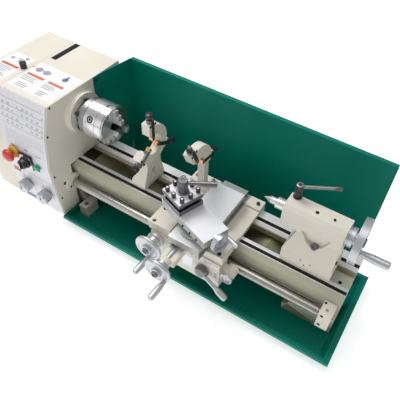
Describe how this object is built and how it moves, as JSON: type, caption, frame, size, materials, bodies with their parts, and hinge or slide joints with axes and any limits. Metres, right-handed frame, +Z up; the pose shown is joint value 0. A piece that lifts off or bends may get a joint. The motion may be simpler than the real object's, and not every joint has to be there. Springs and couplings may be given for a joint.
{
  "type": "bench metal lathe",
  "caption": "Bench-top metal-turning lathe with geared headstock, three-jaw chuck, carriage with compound slide, tailstock, steady and follow rests, chip tray and splash guard.",
  "frame": {"origin": "middle of the chip tray's underside along X, at bench level, with the spindle axis in the plane y = 0", "axes": "+X along the bed from headstock to tailstock, -Y towards the operator, +Z up"},
  "size_m": [1.027, 0.454, 0.376],
  "materials": {
    "cream_paint": "semi-gloss enamel",
    "green_paint": "gloss enamel",
    "panel_paint": "satin",
    "motor_paint": "satin",
    "bright_steel": "polished",
    "gear_steel": "machined",
    "ground_steel": "ground",
    "turned_aluminium": "turned",
    "black_oxide": "black oxide",
    "black_plastic": "matt",
    "belt_rubber": "matt",
    "yellow_plastic": "gloss",
    "red_plastic": "gloss",
    "green_plastic": "gloss",
    "finger_steel": "machined"
  },
  "bodies": {
    "machine": {"chip_tray": "green_paint", "splash_guard": "green_paint", "bed": "cream_paint", "rack": "gear_steel", "headstock": "cream_paint", "front_panel": "panel_paint", "bearing_cap": "cream_paint", "top_vent": "black_plastic", "motor": "motor_paint", "drive_belt": "belt_rubber", "banjo": "gear_steel", "leadscrew_flange": "cream_paint", "leadscrew_bracket": "cream_paint", "control_plate": "black_plastic", "estop_base": "yellow_plastic"},
    "estop_head": {"estop_button": "red_plastic"},
    "start_head": {"start_button": "green_plastic"},
    "mode_dial": {"mode_switch": "black_plastic"},
    "left_knob": {"gear_knob_left": "turned_aluminium"},
    "right_knob": {"gear_knob_right": "turned_aluminium"},
    "cover": {"gear_cover": "cream_paint", "cover_knob": "black_plastic"},
    "spindle_unit": {"spindle": "bright_steel", "chuck_backplate": "gear_steel", "chuck_body": "ground_steel", "spindle_drive": "gear_steel"},
    "jaw_1": {"chuck_jaw_1": "ground_steel"},
    "jaw_2": {"chuck_jaw_2": "ground_steel"},
    "jaw_3": {"chuck_jaw_3": "ground_steel"},
    "motor_shaft": {"motor_pulley": "gear_steel"},
    "idler": {"idler_gear": "gear_steel"},
    "lead_unit": {"leadscrew": "ground_steel", "leadscrew_gear": "gear_steel"},
    "carriage": {"saddle": "cream_paint", "saddle_bolts": "black_oxide", "apron": "cream_paint", "screw_housing": "cream_paint", "dial_housing": "cream_paint", "follow_rest": "cream_paint"},
    "follow_top": {"follow_finger_top": "finger_steel"},
    "follow_back": {"follow_finger_back": "finger_steel"},
    "dial": {"thread_dial": "bright_steel"},
    "carriage_hand": {"carriage_wheel": "turned_aluminium"},
    "half_nut": {"half_nut_lever": "turned_aluminium"},
    "cross": {"cross_slide": "ground_steel"},
    "cross_hand": {"cross_wheel": "turned_aluminium"},
    "swivel": {"swivel_base": "ground_steel"},
    "compound": {"compound_slide": "ground_steel"},
    "compound_hand": {"compound_wheel": "turned_aluminium"},
    "post": {"tool_post": "black_oxide"},
    "post_handle": {"post_lever": "black_oxide"},
    "tailstock": {"tailstock_base": "cream_paint", "tailstock_body": "cream_paint"},
    "quill_unit": {"quill": "ground_steel"},
    "tail_hand": {"tailstock_wheel": "turned_aluminium"},
    "quill_clamp": {"quill_lock": "black_oxide"},
    "steady": {"steady_base": "cream_paint"},
    "steady_top": {"steady_finger_top": "finger_steel"},
    "steady_back": {"steady_finger_back": "finger_steel"},
    "steady_front": {"steady_finger_front": "finger_steel"}
  },
  "joints": [
    {"name": "estop_press", "type": "slide", "parent": "machine", "child": "estop_head", "axis": [0, 1, 0], "range_m": [0, 0.004], "stiffness_N_per_m": 600},
    {"name": "start_press", "type": "slide", "parent": "machine", "child": "start_head", "axis": [0, 1, 0], "range_m": [0, 0.0025], "stiffness_N_per_m": 400},
    {"name": "mode_turn", "type": "hinge", "parent": "machine", "child": "mode_dial", "pos_m": [-0.334, -0.145, 0.193], "axis": [0, -1, 0], "range_deg": [-60, 60]},
    {"name": "left_knob_turn", "type": "hinge", "parent": "machine", "child": "left_knob", "pos_m": [-0.36, -0.145, 0.101], "axis": [0, -1, 0], "range_deg": [-120, 120]},
    {"name": "right_knob_turn", "type": "hinge", "parent": "machine", "child": "right_knob", "pos_m": [-0.294, -0.145, 0.098], "axis": [0, -1, 0], "range_deg": [-120, 120]},
    {"name": "cover_swing", "type": "hinge", "parent": "machine", "child": "cover", "pos_m": [-0.417, 0.155, 0.194], "axis": [0, 0, -1], "range_deg": [0, 95]},
    {"name": "spindle_spin", "type": "hinge", "parent": "machine", "child": "spindle_unit", "pos_m": [-0.261, 0, 0.294], "axis": [1, 0, 0], "continuous": true},
    {"name": "jaw_1_move", "type": "slide", "parent": "spindle_unit", "child": "jaw_1", "axis": [0, -0.9063, -0.4226], "range_m": [-0.002, 0.008]},
    {"name": "jaw_2_move", "type": "slide", "parent": "spindle_unit", "child": "jaw_2", "axis": [0, 0.8192, -0.5736], "range_m": [-0.002, 0.008]},
    {"name": "jaw_3_move", "type": "slide", "parent": "spindle_unit", "child": "jaw_3", "axis": [0, 0.0872, 0.9962], "range_m": [-0.002, 0.008]},
    {"name": "motor_spin", "type": "hinge", "parent": "machine", "child": "motor_shaft", "pos_m": [-0.411, 0.094, 0.217], "axis": [1, 0, 0], "continuous": true},
    {"name": "idler_spin", "type": "hinge", "parent": "machine", "child": "idler", "pos_m": [-0.411, -0.03488, 0.21104], "axis": [1, 0, 0], "continuous": true},
    {"name": "lead_spin", "type": "hinge", "parent": "machine", "child": "lead_unit", "pos_m": [0.039, -0.075, 0.11563], "axis": [1, 0, 0], "continuous": true},
    {"name": "carriage_feed", "type": "slide", "parent": "machine", "child": "carriage", "axis": [1, 0, 0], "range_m": [-0.045, 0.06]},
    {"name": "carriage_hand_turn", "type": "hinge", "parent": "carriage", "child": "carriage_hand", "pos_m": [0.049, -0.16, 0.146], "axis": [0, -1, 0], "range_deg": [-1300, 1300]},
    {"name": "half_nut_throw", "type": "hinge", "parent": "carriage", "child": "half_nut", "pos_m": [0.175, -0.13, 0.121], "axis": [0, -1, 0], "range_deg": [-5, 25]},
    {"name": "dial_spin", "type": "hinge", "parent": "carriage", "child": "dial", "pos_m": [0.235, -0.125, 0.134], "axis": [0, -1, 0], "continuous": true},
    {"name": "cross_feed", "type": "slide", "parent": "carriage", "child": "cross", "axis": [0, 1, 0], "range_m": [-0.03, 0.015]},
    {"name": "cross_hand_turn", "type": "hinge", "parent": "carriage", "child": "cross_hand", "pos_m": [0.119, -0.22, 0.182], "axis": [0, -1, 0], "range_deg": [-9000, 9000]},
    {"name": "compound_swivel", "type": "hinge", "parent": "cross", "child": "swivel", "pos_m": [0.138, -0.099, 0.224], "axis": [0, 0, 1], "range_deg": [-10, 10]},
    {"name": "compound_feed", "type": "slide", "parent": "swivel", "child": "compound", "axis": [0.9397, -0.342, 0], "range_m": [-0.015, 0.02]},
    {"name": "compound_hand_turn", "type": "hinge", "parent": "compound", "child": "compound_hand", "pos_m": [0.19487, -0.11962, 0.248], "axis": [0.9397, -0.342, 0], "range_deg": [-9000, 9000]},
    {"name": "post_turn", "type": "hinge", "parent": "compound", "child": "post", "pos_m": [0.0915, -0.082, 0.274], "axis": [0, 0, 1], "range_deg": [-90, 30]},
    {"name": "post_lever_turn", "type": "hinge", "parent": "post", "child": "post_handle", "pos_m": [0.0915, -0.082, 0.304], "axis": [0, 0, 1], "range_deg": [-60, 10]},
    {"name": "tailstock_move", "type": "slide", "parent": "machine", "child": "tailstock", "axis": [1, 0, 0], "range_m": [-0.02, 0.04]},
    {"name": "quill_feed", "type": "slide", "parent": "tailstock", "child": "quill_unit", "axis": [-1, 0, 0], "range_m": [0, 0.065]},
    {"name": "tail_hand_turn", "type": "hinge", "parent": "tailstock", "child": "tail_hand", "pos_m": [0.453, 0, 0.294], "axis": [1, 0, 0], "range_deg": [-20000, 20000]},
    {"name": "quill_lock_turn", "type": "hinge", "parent": "tailstock", "child": "quill_clamp", "pos_m": [0.309, 0.012, 0.324], "axis": [0, 0, 1], "range_deg": [-50, 10]},
    {"name": "steady_move", "type": "slide", "parent": "machine", "child": "steady", "axis": [1, 0, 0], "range_m": [-0.03, 0.01]},
    {"name": "steady_top_finger", "type": "slide", "parent": "steady", "child": "steady_top", "axis": [0, 0, 1], "range_m": [-0.004, 0.012]},
    {"name": "steady_back_finger", "type": "slide", "parent": "steady", "child": "steady_back", "axis": [0, 0.866, -0.5], "range_m": [-0.004, 0.012]},
    {"name": "steady_front_finger", "type": "slide", "parent": "steady", "child": "steady_front", "axis": [0, -0.866, -0.5], "range_m": [-0.004, 0.012]},
    {"name": "follow_top_finger", "type": "slide", "parent": "carriage", "child": "follow_top", "axis": [0, -0.4067, 0.9135], "range_m": [-0.003, 0.01]},
    {"name": "follow_back_finger", "type": "slide", "parent": "carriage", "child": "follow_back", "axis": [0, 0.9945, -0.1045], "range_m": [-0.003, 0.01]}
  ],
  "couplings": [
    {"joint": "jaw_2_move", "follows": "jaw_1_move", "ratio": 1},
    {"joint": "jaw_3_move", "follows": "jaw_1_move", "ratio": 1},
    {"joint": "motor_spin", "follows": "spindle_spin", "ratio": 1.76},
    {"joint": "idler_spin", "follows": "spindle_spin", "ratio": -0.5},
    {"joint": "lead_spin", "follows": "spindle_spin", "ratio": 0.68966},
    {"joint": "carriage_hand_turn", "follows": "carriage_feed", "rad_per_m": 323.88},
    {"joint": "cross_hand_turn", "follows": "cross_feed", "rad_per_m": 2513.3},
    {"joint": "compound_hand_turn", "follows": "compound_feed", "rad_per_m": -2513.3},
    {"joint": "tail_hand_turn", "follows": "quill_feed", "rad_per_m": 2513.3}
  ]
}
